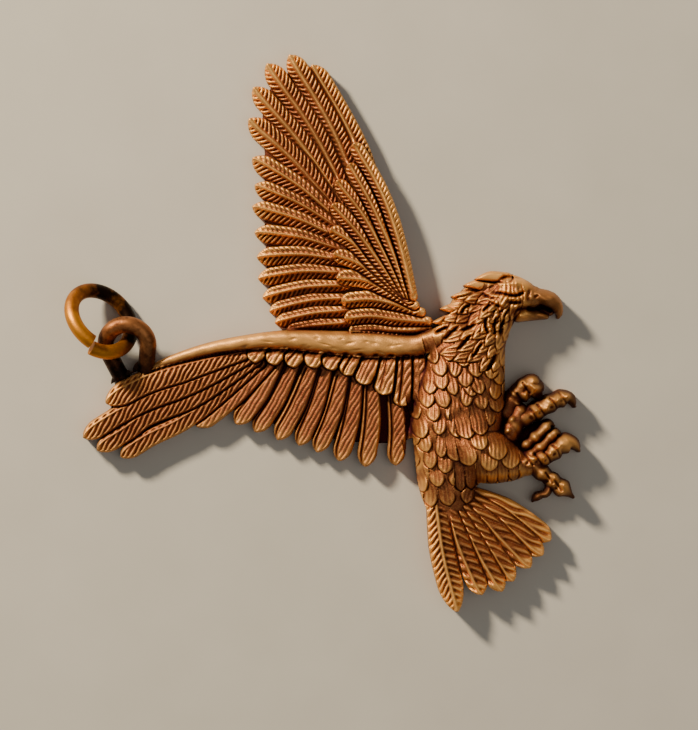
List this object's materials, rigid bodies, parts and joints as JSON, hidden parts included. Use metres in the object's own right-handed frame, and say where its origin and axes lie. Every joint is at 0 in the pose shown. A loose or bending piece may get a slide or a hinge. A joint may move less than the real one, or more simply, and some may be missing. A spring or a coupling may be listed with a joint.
{
  "type": "eagle pendant",
  "caption": "Cast copper-coloured eagle pendant with raised wings and open talons, a brazed hanging loop and an open round-wire jump ring.",
  "frame": {"origin": "centre of the whole object's outline, on the flat back of the casting, which is the plane that it lies on", "axes": "+Z out of the relief, away from the flat back; +Y towards the tip of the raised wing; +X towards the beak and talons"},
  "size_m": [0.0458, 0.0494, 0.0059],
  "materials": {
    "cast_copper": "aged cast copper, dark in the recesses and rubbed bright on the high edges",
    "loop_copper": "mottled dark copper wire",
    "braze": "rough dark braze",
    "ring_brass": "smooth drawn wire, satin, orange-gold"
  },
  "bodies": {
    "pendant": {"eagle_casting": "cast_copper", "hanging_loop": "loop_copper", "braze_fillets": "braze"},
    "jump_ring": {"jump_ring": "ring_brass"}
  },
  "joints": [
    {"name": "ring_swing", "type": "hinge", "parent": "pendant", "child": "jump_ring", "pos_m": [-0.01938, -0.00056, 0.00241], "axis": [0.2105, 0.8882, 0.4084], "range_deg": [0, 80]}
  ]
}
